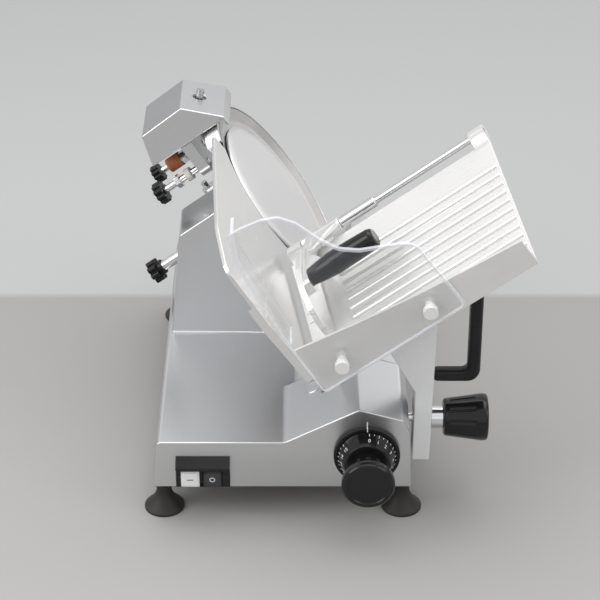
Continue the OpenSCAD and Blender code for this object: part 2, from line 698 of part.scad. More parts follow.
module rod_holder() difference() {
    polygon([[tray_rear_y - blade_y - 6, -24], [rod_y - blade_y + 4, -19], [rod_y - blade_y + 11, -12],
        [rod_y - blade_y + 11, -6], [rod_y - blade_y + 6, rod_w + 7], [rod_y - blade_y - 6, rod_w + 7]]);
    translate([rod_y - blade_y, rod_w]) circle(r = pusher_r + 0.02);
}

module tray_screws() part_frame() color("gray") tray_screw_places()
    translate([0, 0, -10]) cylinder(r = 2.5, h = 12);

// ---- guard, handle and carriage knob ----

guard_outline = [[9, -82], [205.5, -80.3], [204.3, 17.3], [190.3, 28.3], [150, 48],
    [133, 63], [123, 85], [114, 116], [102, 134], [84, 142], [60, 146.5], [44, 148], [29, 115], [22, 60],
    [13, -9]];
guard_round = [6, 7, 16, 14, 14, 18, 20, 20, 14, 14, 10, 8, 30, 60, 60];

module hand_guard() part_frame() color("aliceblue", 0.35) difference() {
    union() {
        // plate whose front face is sunk, which leaves a lip round it
        difference() {
            section(guard_y - 1, guard_t + 1) polygon(rounded(guard_outline, guard_round, 4));
            section(guard_y - 2, 2) polygon(inset(rounded(guard_outline, guard_round, 4), 3));
        }
        section(guard_y, 42) polygon([[46.8, 146.5], [30.5, 113], [23.3, 59], [14.3, -8], [18, -8], [27, 59],
            [34, 112], [49.6, 144]]);
    }
    guard_screw_places(guard_y - 1, guard_t + 2) circle(r = 3.2);
}

// Places of the screws that hold the guard on the tray, from depth y0 rearwards
module guard_screw_places(y0, depth) for (a = [48, 169.5])
    section(y0, depth) translate([a, -61.5]) children();

module guard_screws() part_frame() color("silver") {
    guard_screw_places(guard_y - 9, 8.8) circle(r = 8.5);
    guard_screw_places(guard_y - 1, -guard_y - 5) circle(r = 3);
    guard_screw_places(guard_y + guard_t + 0.1, tray_front_y - guard_y - guard_t - 0.2) circle(r = 6);
}

module carriage_handle() part_frame() color("black")
    front(handle_y, handle_t) polygon(rounded([[arm_x + 22.5, 156], [arm_x + 78, 156],
        on_line(arm_x + 78, under_w(handle_y)), on_line(arm_x + 62.5, under_w(handle_y)),
        [arm_x + 62.5, 171], [arm_x + 22.79, 171]], [0, 15, 0, 0, 7, 0], 6));

module knob_stud() part_frame() color("silver") {
    rod_x(slide_x + 11, stud_y, slide_z, 5, arm_x - slide_x - 11);
    rod_x(arm_x - 0.5, stud_y, slide_z, stud_r, 52);
    rod_x(arm_x + 22, stud_y, slide_z, 13.5, 14.5);
}

module carriage_knob() part_frame() color("black") difference() {
    translate([arm_x + 36.5, stud_y, slide_z]) rotate([0, 90, 0]) rotate_extrude($fn = 72)
        polygon([[0, 0], [20, 0], [22.5, 2], [28.5, 46], [28, 51], [26, 53], [0, 53]]);
    rod_x(arm_x + 30, stud_y, slide_z, stud_r + 0.02, 26);
    for (i = [0:9]) translate([arm_x + 44, stud_y, slide_z]) rotate([36 * i, 0, 0]) rotate([0, 90, 0])
        translate([-25.5, 0, 0]) rotate([0, -7.5, 0]) cylinder(r = 3.2, h = 30);
}

// ---- pusher ----

arm_ring_r = 8.7;
web_points = [[74, -16], [150, -14], [rod_y, rod_w - arm_ring_r], [rod_y + arm_ring_r, rod_w],
    [rod_y, rod_w + arm_ring_r], [150, 5], [74, 4]];

module pusher_rod() part_frame() color("silver")
    rod_a(rod_y - blade_y, rod_w, rod_left - 2, pusher_r, rod_right - rod_left + 2);

module pusher_sleeve() part_frame() color("silver") on_blade(88.3) translate([rod_y - blade_y, rod_w])
    rotate_extrude() polygon([[pusher_r + fit, 0], [6, 0], [6.7, 0.8], [6.7, 50.2], [6, 51],
        [pusher_r + fit, 51]]);

module pusher_arm() part_frame() color("silver") difference() {
    union() {
        rod_a(rod_y - blade_y, rod_w, 34, arm_ring_r, 54);
        on_blade(41) translate([-blade_y, 0]) linear_extrude(8) polygon(rounded(web_points,
            [6, 20, 3, 4, 4, 20, 6]));
        on_blade() translate([rod_y - blade_y, -8]) rotate([-90, 0, 0]) linear_extrude(6)
            polygon([[-28, -48], [0, -48], [0, -86], [-8, -86]]);
        // gusset beside the grip
        on_blade(48) translate([112 - blade_y, -4, 0]) rotate([-90, 0, 0]) linear_extrude(5)
            polygon([[-6, 0], [30, 0], [30, -1], [-6, -24]]);
    }
    rod_a(rod_y - blade_y, rod_w, 30, pusher_r + fit, 60);
}

plate_points = [[38, -62], [172, -17], [182, -13], [182, -5], [150, 10], [108, 9], [70, 2], [48, -16],
    [36, -42]];

module pusher_plate() part_frame() color("whitesmoke") {
    on_blade(34) translate([-blade_y, 0]) linear_extrude(7) polygon(rounded(plate_points,
        [12, 4, 5, 6, 40, 40, 30, 20, 12], 5));
    for (i = [0:6]) let (p = [42 + i * 16, -22 - 6 * cos(i * 40) + i * 2]) on_blade(26)
        translate([p.x - blade_y, p.y]) cylinder(r1 = 0.4, r2 = 2.2, h = 8);
}

module pusher_grip() part_frame() color("black") on_blade(49) translate([90 - blade_y, -2])
    rotate_extrude() polygon([[0, 0], [10.5, 0], [12.5, 14], [14.5, 32], [14, 60], [13, 86], [11.5, 90.5],
        [9, 92], [0, 92]]);

// ---- sharpener ----

hood_roof = [[-99, 132], [16, 132], [16, 135], [-21, 176], [-84, 174]];

module sharpener_hood() part_frame() color("silver") difference() {
    union() {
        section(hood_y, hood_len) polygon(rounded(hood_roof, [0, 0, 2, 4, 3], 3));
        section(hood_y, hood_len) translate([12, 122.5]) square([4, 11]);
    }
    section(hood_y + wall, hood_len - 2 * wall) {
        polygon(inset(hood_roof, wall));
        translate([-95.5, 130]) square([107.5, 7]);
    }
    on_hood_slope() translate([0, 0, -14]) cylinder(r = 8.5, h = 24);
}

// Middle of the slope that faces the product, z outwards
module on_hood_slope() on_blade(-6) translate([375 - blade_y, 159]) rotate([-atan(37 / 41), 0, 0]) children();

module sharpener_lock_screw() part_frame() color("gray") on_hood_slope() difference() {
    translate([0, 0, -16]) cylinder(r = 5, h = 26);
    translate([-6, -0.8, 7]) cube([12, 1.6, 4]);
}

// Sharpener post, z up the blade from height w
module on_post(w) on_blade(post_a) translate([post_x, w]) rotate([-90, 0, 0]) children();

module sharpener_post() part_frame() color("silver") {
    on_post(post_foot) cylinder(r = 13, h = 5);
    // stop arm that the sharpener's bracket rests beside
    on_post(post_foot) translate([-9, 0, 0]) cube([18, stop_reach, 5]);
    on_post(post_foot) translate([0, stop_reach, 0]) cylinder(r = 9, h = 5);
    on_post(post_foot + 5) translate([0, stop_reach, 0]) cylinder(r = 5, h = 9, $fn = 6);
    on_post(post_foot + 5) cylinder(r = post_r, h = 161 - post_foot - 5);
}

module sharpener_body() part_frame() color("silver") difference() {
    union() {
        on_post(88) cylinder(r = 14, h = 82.6);
        on_blade(post_a - 8) linear_extrude(16) {
            polygon([[hone_x - 12, hone_w], [hone_x, hone_w - 12], [grind_x + 12, grind_w - 14],
                [post_x, 96], [post_x, 150], [10, 150], [hone_x - 6, 130]]);
            translate([hone_x, hone_w]) circle(r = 12);
        }
        section(366, 18) polygon([[post_a, 138], [-16, 138], [-7, 148], [-15, 157], [post_a, 157]]);
    }
    on_post(80) cylinder(r = post_r + fit, h = 83);
    on_hood_slope() translate([0, 0, -16.5]) cylinder(r = 5 + fit, h = 24);
    rod_a(grind_x, grind_w, post_a - 20, spindle_r + fit, 40);
    rod_a(hone_x, hone_w, post_a - 20, spindle_r + fit, 40);
}

module stone_knob(r, a, x, w) rod_frame(x, w, a) difference() {
    linear_extrude(11) lobed(r, 10, r / 5);
    translate([0, 0, 4]) cylinder(r = spindle_r + 0.02, h = 10);
}

module rod_frame(x, w, a) on_blade(a) translate([x, w]) children();

module stone(r, h, x, w, a) rod_frame(x, w, a) difference() {
    cylinder(r = r, h = h);
    translate([0, 0, -1]) cylinder(r = spindle_r + 0.02, h = h + 2);
}

module grinding_stone() part_frame() color("chocolate") stone(9.5, 20, grind_x, grind_w, -96);

module honing_stone() part_frame() color("gainsboro") stone(8.5, 8, hone_x, hone_w, -76);

module grinding_spindle() part_frame() color("silver") {
    rod_a(grind_x, grind_w, -115, spindle_r, 76);
    rod_frame(grind_x, grind_w, -75.9) difference() {
        cylinder(r = 9, h = 8, $fn = 6);
        translate([0, 0, -1]) cylinder(r = spindle_r + 0.02, h = 10);
    }
}

module honing_spindle() part_frame() color("silver") {
    rod_a(hone_x, hone_w, -118, spindle_r, 79);
    rod_frame(hone_x, hone_w, -92) difference() {
        cylinder(r = 9, h = 7, $fn = 6);
        translate([0, 0, -1]) cylinder(r = spindle_r + 0.02, h = 9);
    }
}

module grinding_knob() part_frame() color("black") stone_knob(12, -119, grind_x, grind_w);

module honing_knob() part_frame() color("black") stone_knob(15, -122, hone_x, hone_w);

base_casting();
bottom_cover();
cover_screws();
rubber_feet();
foot_screws();
cord_inlet();
control_box();
motor_body();
motor_bracket();
motor_shaft();
motor_pulley();
drive_belt();
blade_bearings();
blade_hub();
blade_pulley();
blade();
blade_screws();
blade_cover();
ring_guard();
slice_deflector();
tie_rod();
cover_knob();
switch_housing();
switch_contacts();
on_button();
off_button();
button_springs();
dial_ring();
dial_skirt();
dial_knob();
dial_cam();
gauge_plate();
gauge_bar();
gauge_slide();
slide_rod();
guide_rod();
slide_block();
carriage_arm();
product_tray();
tray_screws();
hand_guard();
guard_screws();
carriage_handle();
knob_stud();
carriage_knob();
pusher_rod();
pusher_sleeve();
pusher_arm();
pusher_plate();
pusher_grip();
sharpener_post();
sharpener_body();
sharpener_hood();
sharpener_lock_screw();
grinding_stone();
grinding_spindle();
grinding_knob();
honing_stone();
honing_spindle();
honing_knob();
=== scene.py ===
"""Deli meat slicer: finishes, broken edges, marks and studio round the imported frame, in metres."""
import json
import math

import bmesh
import bpy
from mathutils import Matrix, Vector


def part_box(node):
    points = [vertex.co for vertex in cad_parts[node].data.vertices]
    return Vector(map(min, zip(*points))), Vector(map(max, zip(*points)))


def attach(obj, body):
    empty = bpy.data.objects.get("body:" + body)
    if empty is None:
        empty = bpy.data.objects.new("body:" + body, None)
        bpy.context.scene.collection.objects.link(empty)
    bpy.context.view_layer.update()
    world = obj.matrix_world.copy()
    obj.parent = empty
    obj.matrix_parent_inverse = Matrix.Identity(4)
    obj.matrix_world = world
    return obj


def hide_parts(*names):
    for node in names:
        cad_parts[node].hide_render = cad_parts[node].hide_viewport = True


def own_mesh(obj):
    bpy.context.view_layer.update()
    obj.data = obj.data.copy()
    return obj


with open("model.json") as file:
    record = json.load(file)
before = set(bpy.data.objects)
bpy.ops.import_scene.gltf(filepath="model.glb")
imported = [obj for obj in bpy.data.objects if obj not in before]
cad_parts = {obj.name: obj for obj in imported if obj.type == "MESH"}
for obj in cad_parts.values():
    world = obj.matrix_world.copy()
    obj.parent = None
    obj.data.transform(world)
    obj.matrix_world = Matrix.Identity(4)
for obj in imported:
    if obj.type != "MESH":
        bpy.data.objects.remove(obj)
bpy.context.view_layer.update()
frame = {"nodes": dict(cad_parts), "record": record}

MM = 0.001
TILT = math.radians(36.4)                               # lean of the blade
OUT = Vector((math.cos(TILT), 0, math.sin(TILT)))       # along the blade axis, to the product
UP = Vector((-math.sin(TILT), 0, math.cos(TILT)))       # up the blade
BLADE = (-7, 357, 250.5)                                # blade centre in the machine frame, mm
ROD_X, ROD_FRONT = 128, 18                              # slide rod in the machine frame, mm
ROD_LOW, ROD_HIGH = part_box("slide_rod")
SHIFT = Vector(((ROD_LOW.x + ROD_HIGH.x) / 2 - ROD_X * MM, ROD_LOW.y - ROD_FRONT * MM, 0))


def at(x, y, z):
    """Point of the machine frame, in mm, as a point of the row frame."""
    return Vector((x, y, z)) * MM + SHIFT


def on_blade(a, y, w):
    """Point at a along the blade axis, machine depth y and height w up the blade, in mm."""
    return at(BLADE[0], y, BLADE[2]) + (OUT * a + UP * w) * MM


# ---------------------------------------------------------------- materials

REFRACTION = 1.45       # of every finish that isn't bare metal
COAT_ROUGH = 0.08
GRAIN_DEPTH = 0.0002    # metres that the full height of the grain stands for


def link(tree, a, b):
    """Joins an output to an input."""
    tree.links.new(a, b)


def node(tree, kind, **values):
    """New node with its properties set."""
    made = tree.nodes.new(kind)
    for key, value in values.items():
        setattr(made, key, value)
    return made


def ranged(tree, value, low, high, to_low=0.0, to_high=1.0, interpolation="LINEAR"):
    """Output that carries a value from one range to another."""
    made = node(tree, "ShaderNodeMapRange", interpolation_type=interpolation)
    made.inputs["From Min"].default_value = low
    made.inputs["From Max"].default_value = high
    made.inputs["To Min"].default_value = to_low
    made.inputs["To Max"].default_value = to_high
    link(tree, value, made.inputs["Value"])
    return made.outputs["Result"]


def mixed(tree, factor, a, b):
    """Output between two colours, each of which is a tuple or another node's output."""
    made = node(tree, "ShaderNodeMix", data_type="RGBA")
    link(tree, factor, made.inputs["Factor"])
    for key, value in (("A", a), ("B", b)):
        if isinstance(value, tuple):
            made.inputs[key].default_value = value
        else:
            link(tree, value, made.inputs[key])
    return made.outputs["Result"]


def noise(tree, where, scale, detail, roughness=0.5):
    """Output of a noise texture."""
    made = node(tree, "ShaderNodeTexNoise")
    made.inputs["Scale"].default_value = scale
    made.inputs["Detail"].default_value = detail
    made.inputs["Roughness"].default_value = roughness
    link(tree, where, made.inputs["Vector"])
    return made.outputs["Fac"]


def ring_place(tree, spot):
    """Distance from the blade axis, as a texture's place, which draws rings round the axis."""
    away = node(tree, "ShaderNodeVectorMath", operation="SUBTRACT")
    away.inputs[1].default_value = on_blade(0, BLADE[1], 0)
    link(tree, spot, away.inputs[0])
    across = node(tree, "ShaderNodeVectorMath", operation="CROSS_PRODUCT")
    across.inputs[1].default_value = OUT
    link(tree, away.outputs[0], across.inputs[0])
    length = node(tree, "ShaderNodeVectorMath", operation="LENGTH")
    link(tree, across.outputs[0], length.inputs[0])
    radius = node(tree, "ShaderNodeCombineXYZ")
    link(tree, length.outputs["Value"], radius.inputs[0])
    return radius.outputs[0]


def brushed_place(tree, spot, turn, stretch):
    """Place turned about Y and squeezed, which draws the grain out one way."""
    mapping = node(tree, "ShaderNodeMapping")
    mapping.inputs["Rotation"].default_value = (0, turn, 0)
    mapping.inputs["Scale"].default_value = stretch
    link(tree, spot, mapping.inputs["Vector"])
    return mapping.outputs["Vector"]


def shade(color, factor, add=0.0):
    """Colour made lighter or darker, with its alpha."""
    return tuple(min(1.0, max(0.0, c * factor + add)) for c in color) + (1,)


def surface(name, color, metallic, rough, scale=400.0, spread=0.06, rough_spread=0.05, bump=0.05,
            stretch=(1, 1, 1), turn=0.0, cloud=6.0, rings=False, edge=0.0, coat=0.0, detail=5.0,
            shine=0.5, alpha=1.0):
    """Procedural finish: fine grain, larger clouds in colour and gloss, and a painted highlight on sharp
    edges.
    """
    mat = bpy.data.materials.new(name)
    mat.use_nodes = True
    tree = mat.node_tree
    tree.nodes.clear()
    out = node(tree, "ShaderNodeOutputMaterial")
    shader = node(tree, "ShaderNodeBsdfPrincipled")
    link(tree, shader.outputs["BSDF"], out.inputs["Surface"])
    shader.inputs["Metallic"].default_value = metallic
    shader.inputs["IOR"].default_value = REFRACTION
    shader.inputs["Specular IOR Level"].default_value = shine
    shader.inputs["Alpha"].default_value = alpha
    shader.inputs["Coat Weight"].default_value = coat
    shader.inputs["Coat Roughness"].default_value = COAT_ROUGH
    spot = node(tree, "ShaderNodeTexCoord").outputs["Object"]
    place = ring_place(tree, spot) if rings else brushed_place(tree, spot, turn, stretch)
    fine = noise(tree, place, scale, detail, 0.62)
    both = node(tree, "ShaderNodeMix", data_type="FLOAT")
    link(tree, fine, both.inputs["A"])
    link(tree, noise(tree, spot, cloud, 3.0), both.inputs["B"])
    pattern = both.outputs["Result"]
    base = mixed(tree, ranged(tree, pattern, 0.35, 0.65), shade(color, 1 - spread), shade(color, 1 + spread))
    # painted highlight: the colour turns lighter on sharp convex edges, where Pointiness is high
    if edge:
        corner = node(tree, "ShaderNodeNewGeometry").outputs["Pointiness"]
        base = mixed(tree, ranged(tree, corner, 0.52, 0.62, 0.0, edge), base, shade(color, 1.35, 0.03))
    link(tree, base, shader.inputs["Base Color"])
    gloss = ranged(tree, pattern, 0.3, 0.7, max(0.0, rough - rough_spread), rough + rough_spread)
    link(tree, gloss, shader.inputs["Roughness"])
    if bump:
        raise_it = node(tree, "ShaderNodeBump")
        raise_it.inputs["Strength"].default_value = bump
        raise_it.inputs["Distance"].default_value = GRAIN_DEPTH
        link(tree, fine, raise_it.inputs["Height"])
        link(tree, raise_it.outputs["Normal"], shader.inputs["Normal"])
    return mat


def finishes():
    """Every material by name: metals first, then enamel and mouldings, stones and the clear guard."""
    return {
        # edge: strength of the painted highlight on sharp edges
        "cast": surface("cast_satin", (0.64, 0.645, 0.655), 1.0, 0.30, spread=0.015, rough_spread=0.015,
                        bump=0.0, stretch=(1, 0.12, 1), cloud=9, edge=0.4, detail=2.0),
        "plate": surface("plate_satin", (0.83, 0.825, 0.82), 0.85, 0.24, scale=600, spread=0.03,
                         rough_spread=0.04, bump=0.015, stretch=(1, 0.05, 1), turn=TILT, cloud=7,
                         detail=2.0),
        "sheet": surface("anodised_sheet", (0.76, 0.755, 0.745), 0.45, 0.30, scale=600, spread=0.03,
                         rough_spread=0.04, bump=0.015, stretch=(0.05, 1, 0.05), turn=TILT, cloud=8,
                         detail=2.0),
        "rib": surface("polished_sheet", (0.88, 0.88, 0.87), 0.8, 0.24, scale=600, spread=0.03,
                       rough_spread=0.04, bump=0.015, stretch=(0.05, 1, 1), turn=TILT, cloud=8,
                       detail=2.0),
        "arm": surface("arm_satin", (0.84, 0.85, 0.86), 0.3, 0.42, scale=500, spread=0.03, bump=0.02,
                       stretch=(1, 1, 0.08), cloud=10, edge=0.3, detail=2.0),
        "polished": surface("polished_steel", (0.80, 0.80, 0.81), 1.0, 0.14, scale=900, spread=0.03,
                            rough_spread=0.04, bump=0.01, cloud=20, detail=2.0),
        "pale": surface("screw_head", (0.84, 0.84, 0.83), 0.3, 0.34, scale=700, spread=0.03, bump=0.01,
                        cloud=30, detail=2.0),
        "blade": surface("ground_blade", (0.62, 0.61, 0.60), 1.0, 0.24, scale=900, spread=0.10,
                         rough_spread=0.07, bump=0.08, rings=True),
        "cover": surface("turned_cover", (0.84, 0.84, 0.84), 0.9, 0.32, scale=700, spread=0.05,
                         rings=True),
        "steel": surface("plain_steel", (0.48, 0.48, 0.49), 1.0, 0.36, scale=800, spread=0.12,
                         rough_spread=0.1, bump=0.03, cloud=30),
        # painted shade: dark colour for the faces of the tray that look down
        "under": surface("underside_painted_shade", (0.16, 0.16, 0.165), 0.9, 0.5, scale=500, spread=0.1,
                         rough_spread=0.08, bump=0.02, cloud=20, detail=2.0),
        "motor": surface("motor_enamel", (0.06, 0.065, 0.075), 0.2, 0.45, scale=500, spread=0.15,
                         rough_spread=0.08, bump=0.1, cloud=20),
        "black": surface("moulded_black", (0.010, 0.010, 0.011), 0.0, 0.27, scale=2200, spread=0.3,
                         rough_spread=0.07, cloud=30, edge=0.2, shine=0.3),
        "gloss": surface("gloss_black", (0.008, 0.008, 0.009), 0.0, 0.16, scale=1500, spread=0.3,
                         bump=0.02, cloud=25, coat=0.15, edge=0.2, shine=0.35),
        "rubber": surface("foot_rubber", (0.02, 0.018, 0.017), 0.0, 0.55, scale=1400, spread=0.25,
                          rough_spread=0.08, bump=0.2, cloud=25, edge=0.5),
        "grey": surface("grey_moulding", (0.12, 0.12, 0.125), 0.0, 0.5, scale=1500, spread=0.15,
                        rough_spread=0.06, bump=0.15, cloud=25),
        "white": surface("white_key", (0.80, 0.81, 0.80), 0.0, 0.3, scale=1500, spread=0.03, bump=0.03,
                         cloud=25),
        "key": surface("dark_key", (0.045, 0.045, 0.05), 0.0, 0.3, scale=1500, spread=0.2, bump=0.04,
                       cloud=25),
        "print": surface("white_print", (0.88, 0.88, 0.87), 0.0, 0.5, scale=3000, spread=0.03, bump=0.02,
                         cloud=60),
        "hone": surface("pale_stone", (0.66, 0.64, 0.60), 0.0, 0.8, scale=2400, spread=0.15,
                        rough_spread=0.08, bump=0.4, cloud=60),
        "stone": surface("bonded_stone", (0.46, 0.17, 0.07), 0.0, 0.85, scale=2400, spread=0.35,
                         rough_spread=0.08, bump=0.6, cloud=60),
        "clear": surface("clear_polycarbonate", (0.34, 0.355, 0.38), 0.0, 0.06, scale=60, spread=0.03,
                         rough_spread=0.02, bump=0.0, cloud=12, shine=0.9, alpha=0.07, coat=1.0),
        # painted highlight: paler, less clear colour for the rim of the guard
        "painted_rim_highlight": surface("painted_rim_highlight", (0.78, 0.80, 0.85), 0.0, 0.2, scale=300, spread=0.08,
                              rough_spread=0.06, bump=0.0, cloud=30, alpha=0.62, shine=0.7),
    }


MAT = finishes()


# ---------------------------------------------------------------- skins of the CAD nodes

BODY = {name: body for body, names in frame["record"]["behaviour"]["bodies"].items() for name in names}
INNER_CORNER = (at(-150, 243, 105), at(8, 247, 107))    # box round the edge where platform meets housing
INNER_ROUND = 4 * MM
GUARD_FRONT = at(0, -22.4, 0).y                         # between the guard's sunk face and its lip
NARROW = 0.0012                                         # square metres, above any face of the guard's rim


def new_object(name, bm, mat, body, smooth=35.0):
    """Object made from a bmesh, shaded smooth below an angle, riding on a body."""
    mesh = bpy.data.meshes.new(name)
    bm.normal_update()
    bm.to_mesh(mesh)
    bm.free()
    obj = bpy.data.objects.new(name, mesh)
    bpy.context.scene.collection.objects.link(obj)
    mesh.materials.append(mat)
    mesh.polygons.foreach_set("use_smooth", [True] * len(mesh.polygons))
    mesh.set_sharp_from_angle(angle=math.radians(smooth))
    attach(obj, body)
    return obj


def in_corner(edge):
    """Whether an edge is the inner corner where the platform meets the front of the housing."""
    low, high = INNER_CORNER
    spot = (edge.verts[0].co + edge.verts[1].co) / 2
    return all(low[k] <= spot[k] <= high[k] for k in range(3)) and not edge.is_convex


def lit_rim(bm):
    """Marks the rim of the guard, its narrow walls, broken edges and lip, for a paler, less clear colour: a
    painted highlight where they catch the light.
    """
    for face in bm.faces:
        lip = face.calc_center_median().y < GUARD_FRONT
        if lip or (abs(face.normal.y) < 0.97 and face.calc_area() < NARROW):
            face.material_index = 1


def paint_underside_shade(bm):
    """Marks the faces of the table that look down, for a dark colour that is painted shade on the underside.
    """
    for face in bm.faces:
        if face.normal.dot(UP) < -0.5:
            face.material_index = 1


# node: how its second finish is marked, and that finish, which is painted light: a highlight on the guard's
# rim, shade under the tray
SECOND = {"hand_guard": (lit_rim, "painted_rim_highlight"), "product_tray": (paint_underside_shade, "under")}


def bevel(bm, edges, width, segments, slide):
    """Breaks edges with a bevel of the given width."""
    bmesh.ops.bevel(bm, geom=edges, offset=width, offset_type="OFFSET", segments=segments, profile=0.5,
                    affect="EDGES", clamp_overlap=False, loop_slide=slide)


def refine(name, mat, body_name, width, angle=40.0):
    """Piece that stands for a CAD node: the same shape with its edges broken and its curves smooth."""
    bm = bmesh.new()
    bm.from_mesh(frame["nodes"][name].data)
    bmesh.ops.remove_doubles(bm, verts=bm.verts, dist=2e-6)
    if width:
        bmesh.ops.dissolve_limit(bm, angle_limit=math.radians(0.6), verts=bm.verts, edges=bm.edges)
        if name == "base_casting":
            corner = [e for e in bm.edges if len(e.link_faces) == 2 and in_corner(e)]
            bevel(bm, corner, INNER_ROUND, 3, False)
        edges = [e for e in bm.edges if len(e.link_faces) == 2 and e.is_convex
                 and e.calc_face_angle(0) > math.radians(angle)]
        bevel(bm, edges, width * MM, 2, True)
    if name in SECOND:
        SECOND[name][0](bm)
    obj = new_object(name + "_skin", bm, mat, body_name)
    if name in SECOND:
        obj.data.materials.append(MAT[SECOND[name][1]])
    lean = obj.modifiers.new("even", "WEIGHTED_NORMAL")
    lean.keep_sharp = True
    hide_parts(name)


# node: material, broken edge in mm
SKINS = {
    "base_casting": ("cast", 1.7), "ring_guard": ("plate", 0.5), "sharpener_hood": ("cast", 1.7),
    "sharpener_body": ("cast", 0.5), "carriage_arm": ("arm", 1.2), "gauge_plate": ("plate", 0.8),
    "product_tray": ("sheet", 0.5), "pusher_plate": ("rib", 0.6), "pusher_arm": ("rib", 0.6),
    "blade_cover": ("cover", 0.0), "slice_deflector": ("plate", 0.2), "pusher_rod": ("polished", 0.5),
    "pusher_sleeve": ("polished", 0.4), "slide_rod": ("polished", 0.5), "knob_stud": ("polished", 0.6),
    "guard_screws": ("pale", 0.8), "tie_rod": ("polished", 0.4), "grinding_spindle": ("polished", 0.3),
    "honing_spindle": ("polished", 0.3), "sharpener_post": ("polished", 0.5), "blade": ("blade", 0.0),
    "sharpener_lock_screw": ("steel", 0.4), "carriage_handle": ("black", 5.0),
    "carriage_knob": ("gloss", 0.8), "pusher_grip": ("gloss", 0.8), "switch_housing": ("gloss", 0.9),
    "dial_ring": ("black", 0.6), "cord_inlet": ("black", 0.5), "cover_knob": ("black", 0.6),
    "grinding_knob": ("black", 0.6), "honing_knob": ("black", 0.6), "dial_skirt": ("gloss", 0.4),
    "dial_knob": ("gloss", 0.8), "on_button": ("white", 1.0), "off_button": ("key", 1.0),
    "rubber_feet": ("rubber", 0.6), "hand_guard": ("clear", 0.4), "grinding_stone": ("stone", 0.5),
    "honing_stone": ("hone", 0.4),
}
# node that keeps its own mesh: material
PLAIN = {
    "bottom_cover": "steel", "cover_screws": "steel", "foot_screws": "steel", "motor_bracket": "steel",
    "motor_shaft": "steel", "blade_bearings": "steel", "blade_hub": "steel", "blade_screws": "steel",
    "tray_screws": "steel", "dial_cam": "steel", "motor_body": "motor", "control_box": "grey",
    "switch_contacts": "grey", "drive_belt": "rubber", "guide_rod": "polished", "gauge_bar": "polished",
    "slide_block": "cast", "gauge_slide": "cast", "blade_pulley": "cast", "motor_pulley": "cast",
}
for name, (finish, width) in SKINS.items():
    refine(name, MAT[finish], BODY[name], width)
for name, finish in PLAIN.items():
    obj = frame["nodes"][name]
    obj.data.materials.clear()
    obj.data.materials.append(MAT[finish])


# ---------------------------------------------------------------- key springs

WIRE = 0.7 * MM         # radius of the spring wire
COILS = 4.5


def key_spring(key):
    """Coil spring behind a key: one wire wound in a helix."""
    low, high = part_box("button_springs")
    key_low, key_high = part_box(key)
    steps, sides = 24, 10
    radius = (high.z - low.z) / 2 - WIRE
    front, back = low.y + WIRE + 0.1 * MM, high.y - WIRE
    middle = Vector(((key_low.x + key_high.x) / 2, 0, (low.z + high.z) / 2))
    bm = bmesh.new()
    count = int(COILS * steps)
    rings = []
    for i in range(count + 1):
        angle = 2 * math.pi * COILS * i / count
        out = Vector((math.cos(angle), 0, math.sin(angle)))
        core = middle + out * radius + Vector((0, front + (back - front) * i / count, 0))
        rings.append([bm.verts.new(core + (out * math.cos(a) + Vector((0, 1, 0)) * math.sin(a)) * WIRE)
                      for a in (2 * math.pi * k / sides for k in range(sides))])
    for one, two in zip(rings, rings[1:]):
        for k in range(sides):
            bm.faces.new((one[k], one[(k + 1) % sides], two[(k + 1) % sides], two[k]))
    bm.faces.new(rings[0])
    bm.faces.new(rings[-1])
    bmesh.ops.recalc_face_normals(bm, faces=bm.faces)
    obj = new_object(key + "_spring", bm, MAT["steel"], "machine", 60)
    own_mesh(obj)
    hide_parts("button_springs")


key_spring("on_button")
key_spring("off_button")


# ---------------------------------------------------------------- marks

DIAL = at(99, 0, 90)                            # middle of the dial on the front panel
CONE_R, CONE_DROP, CONE_LEN = 34.5, 7.5, 16     # dial skirt: radius, what it loses, over what length, mm
CONE_START = 4                                  # depth on the skirt where the cone starts, mm
TO_FRONT = Matrix(((1, 0, 0, 0), (0, 0, -1, 0), (0, 1, 0, 0), (0, 0, 0, 1)))    # flat text faces forward
HAIR = 0.3 * MM                                 # thickness of a flat mark


def text_bmesh(body, size):
    """Flat outlined text as a bmesh in its own plane, centred, a hair thick."""
    curve = bpy.data.curves.new("mark", "FONT")
    curve.body = body
    curve.size = size
    curve.align_x = "CENTER"
    curve.align_y = "CENTER"
    curve.extrude = 0.00008
    holder = bpy.data.objects.new("mark", curve)
    bpy.context.scene.collection.objects.link(holder)
    bpy.context.view_layer.update()
    mesh = bpy.data.meshes.new_from_object(holder.evaluated_get(bpy.context.evaluated_depsgraph_get()))
    bm = bmesh.new()
    bm.from_mesh(mesh)
    bpy.data.objects.remove(holder)
    bpy.data.curves.remove(curve)
    bpy.data.meshes.remove(mesh)
    return bm


def slab(bm, matrix, sx, sy, sz):
    """Adds a block of the given size at a matrix."""
    bmesh.ops.create_cube(bm, size=1.0, matrix=matrix @ Matrix.Diagonal((sx, sy, sz, 1)))


def add_bmesh(target, source, matrix):
    """Moves a bmesh by a matrix into another."""
    mesh = bpy.data.meshes.new("part")
    source.to_mesh(mesh)
    source.free()
    mesh.transform(matrix)
    target.from_mesh(mesh)
    bpy.data.meshes.remove(mesh)


